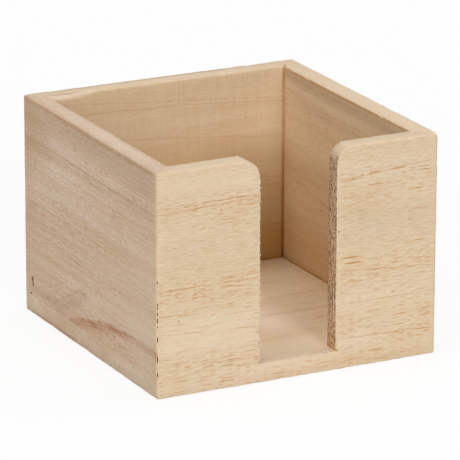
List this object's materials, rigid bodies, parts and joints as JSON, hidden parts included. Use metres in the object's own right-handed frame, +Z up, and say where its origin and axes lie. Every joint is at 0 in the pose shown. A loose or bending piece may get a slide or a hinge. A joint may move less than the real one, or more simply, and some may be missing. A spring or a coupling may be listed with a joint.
{
  "type": "memo box",
  "caption": "Square open-topped wooden memo box: mitred walls on a full bottom board, with a finger notch through the middle of the front wall.",
  "frame": {"origin": "centre of the underside of the bottom board", "axes": "+Z up out of the open top; +X to the right as seen from the front; the notched front wall faces -Y"},
  "size_m": [0.11, 0.11, 0.0815],
  "materials": {
    "panel_wood": "bare, sanded, pale cream wood with fine brown pores",
    "side_wood": "bare, sanded, pale pinkish beige wood with darker growth lines",
    "bottom_wood": "bare, sanded, pale cream wood"
  },
  "bodies": {
    "root": {"bottom_board": "bottom_wood", "left_side": "side_wood", "right_side": "side_wood", "back_panel": "panel_wood", "front_left_panel": "panel_wood", "front_right_panel": "panel_wood"}
  },
  "joints": []
}
